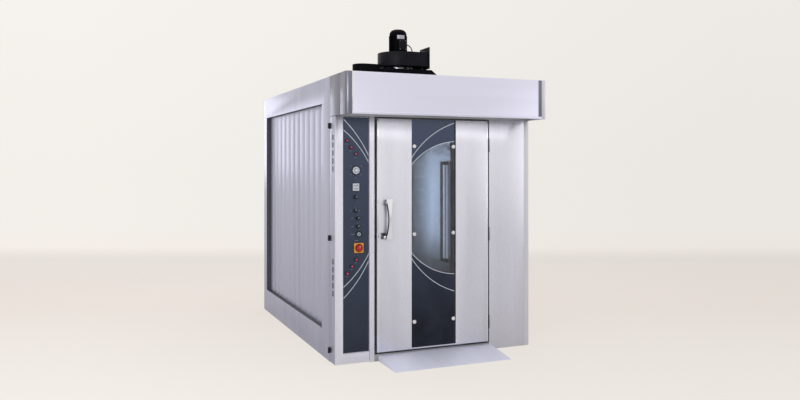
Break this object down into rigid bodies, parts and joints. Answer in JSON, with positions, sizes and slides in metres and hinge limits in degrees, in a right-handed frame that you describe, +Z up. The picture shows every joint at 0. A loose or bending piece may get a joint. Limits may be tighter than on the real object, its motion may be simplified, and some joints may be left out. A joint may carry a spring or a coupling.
{
  "type": "rotating rack oven",
  "caption": "Roll-in rack oven: tall insulated cabinet with a windowed hinged door, bowed lever handle, side control panel, front steam hood, roof fan and entry ramp.",
  "frame": {"origin": "centre of the casing's footprint, on the floor", "axes": "+X to the right along the front, +Y back into the oven, +Z up"},
  "size_m": [1.887, 3.09, 2.862],
  "materials": {
    "casing_steel": "satin",
    "front_steel": "satin",
    "bright_steel": "polished",
    "galvanised_sheet": "matte",
    "mineral_wool": "matte",
    "lamp_glass": "gloss",
    "black_paint": "satin",
    "hinge_black": "satin",
    "heater_steel": "matte",
    "slate_panel": "satin",
    "slate_glass": "gloss",
    "clear_glass": "gloss",
    "black_plastic": "satin",
    "matte_black_plastic": "matte",
    "red_lens": "gloss",
    "display_plastic": "satin",
    "yellow_plastic": "satin",
    "red_plastic": "satin",
    "white_plastic": "satin",
    "grey_plastic": "satin",
    "gasket_rubber": "matte",
    "cable_rubber": "matte"
  },
  "bodies": {
    "casing": {"base_pan": "galvanised_sheet", "left_side_frame": "casing_steel", "right_side_frame": "casing_steel", "left_ribbed_field": "casing_steel", "right_ribbed_field": "casing_steel", "rear_wall": "casing_steel", "roof_panel": "casing_steel", "insulation": "mineral_wool", "chamber_left_wall": "front_steel", "chamber_right_wall": "front_steel", "chamber_ceiling": "front_steel", "air_wall": "front_steel", "chamber_lamp": "lamp_glass", "door_portal": "galvanised_sheet", "latch_post": "front_steel", "fixed_front_panel": "front_steel", "front_head": "galvanised_sheet", "ramp": "casing_steel", "hood_front": "front_steel", "hood_ends": "front_steel", "hood_top": "casing_steel", "grease_baffle": "galvanised_sheet", "cabinet_liner": "galvanised_sheet", "electrical_tray": "galvanised_sheet", "hinge_pins": "hinge_black", "rack_drive_motor": "black_paint", "circulation_motor": "black_paint", "heating_elements": "heater_steel", "steam_generator": "heater_steel", "suction_box": "black_paint", "fan_scroll": "black_paint", "extraction_motor": "black_paint", "motor_cable": "cable_rubber"},
    "control_door": {"cabinet_door": "front_steel", "control_panel": "slate_panel", "panel_bezels": "black_plastic", "lamp_lenses": "red_lens", "display_module": "display_plastic", "main_switch_plate": "yellow_plastic", "cabinet_knuckles": "hinge_black"},
    "door": {"door_core": "galvanised_sheet", "door_skins": "front_steel", "door_outer_glass": "slate_glass", "door_inner_glass": "clear_glass", "glass_studs": "bright_steel", "door_gasket": "gasket_rubber", "door_knuckles": "casing_steel", "handle_mounts": "matte_black_plastic"},
    "handle": {"door_handle": "bright_steel"},
    "latch_bolt": {"latch_bolt": "bright_steel"},
    "thermostat_dial": {"thermostat_dial": "white_plastic"},
    "timer_knob": {"timer_knob": "black_plastic"},
    "steam_knob": {"steam_knob": "black_plastic"},
    "fan_knob": {"fan_knob": "black_plastic"},
    "light_knob": {"light_knob": "black_plastic"},
    "start_button": {"start_button": "grey_plastic"},
    "main_switch_knob": {"main_switch_knob": "red_plastic"},
    "extraction_impeller": {"extraction_impeller": "galvanised_sheet"},
    "circulation_wheel": {"circulation_wheel": "galvanised_sheet"},
    "rack_carrier": {"rack_carrier": "front_steel"}
  },
  "joints": [
    {"name": "door_hinge", "type": "hinge", "parent": "casing", "child": "door", "pos_m": [0.5025, -1.334, 1], "axis": [0, 0, 1], "range_deg": [0, 120]},
    {"name": "control_door_hinge", "type": "hinge", "parent": "casing", "child": "control_door", "pos_m": [-0.944, -1.1895, 1], "axis": [0, 0, -1], "range_deg": [0, 110]},
    {"name": "handle_turn", "type": "hinge", "parent": "door", "child": "handle", "pos_m": [-0.516, -1.361, 1.05], "axis": [1, 0, 0], "range_deg": [0, 16], "stiffness_Nm_per_rad": 6, "springref_deg": -5.73},
    {"name": "latch_slide", "type": "slide", "parent": "door", "child": "latch_bolt", "axis": [1, 0, 0], "range_m": [0, 0.016]},
    {"name": "dial_turn", "type": "hinge", "parent": "control_door", "child": "thermostat_dial", "pos_m": [-0.75, -1.321, 1.609], "axis": [0, 1, 0], "range_deg": [0, 270]},
    {"name": "timer_turn", "type": "hinge", "parent": "control_door", "child": "timer_knob", "pos_m": [-0.757, -1.321, 1.387], "axis": [0, 1, 0], "range_deg": [0, 270]},
    {"name": "steam_turn", "type": "hinge", "parent": "control_door", "child": "steam_knob", "pos_m": [-0.757, -1.321, 1.273], "axis": [0, 1, 0], "range_deg": [0, 90]},
    {"name": "fan_turn", "type": "hinge", "parent": "control_door", "child": "fan_knob", "pos_m": [-0.736, -1.321, 1.21], "axis": [0, 1, 0], "range_deg": [0, 90]},
    {"name": "light_turn", "type": "hinge", "parent": "control_door", "child": "light_knob", "pos_m": [-0.736, -1.321, 1.141], "axis": [0, 1, 0], "range_deg": [0, 90]},
    {"name": "main_switch_turn", "type": "hinge", "parent": "control_door", "child": "main_switch_knob", "pos_m": [-0.727, -1.321, 0.963], "axis": [0, 1, 0], "range_deg": [0, 90]},
    {"name": "start_push", "type": "slide", "parent": "control_door", "child": "start_button", "axis": [0, 1, 0], "range_m": [0, 0.004], "stiffness_N_per_m": 300, "springref_m": -0.002},
    {"name": "extraction_spin", "type": "hinge", "parent": "casing", "child": "extraction_impeller", "pos_m": [-0.247, -1.025, 2.59], "axis": [0, 0, 1], "continuous": true},
    {"name": "circulation_spin", "type": "hinge", "parent": "casing", "child": "circulation_wheel", "pos_m": [-0.039, 0.706, 1.925], "axis": [0, 0, 1], "continuous": true},
    {"name": "carrier_spin", "type": "hinge", "parent": "casing", "child": "rack_carrier", "pos_m": [-0.039, -0.525, 1.95], "axis": [0, 0, 1], "continuous": true}
  ],
  "couplings": [
    {"joint": "latch_slide", "follows": "handle_turn", "m_per_rad": 0.0572}
  ]
}
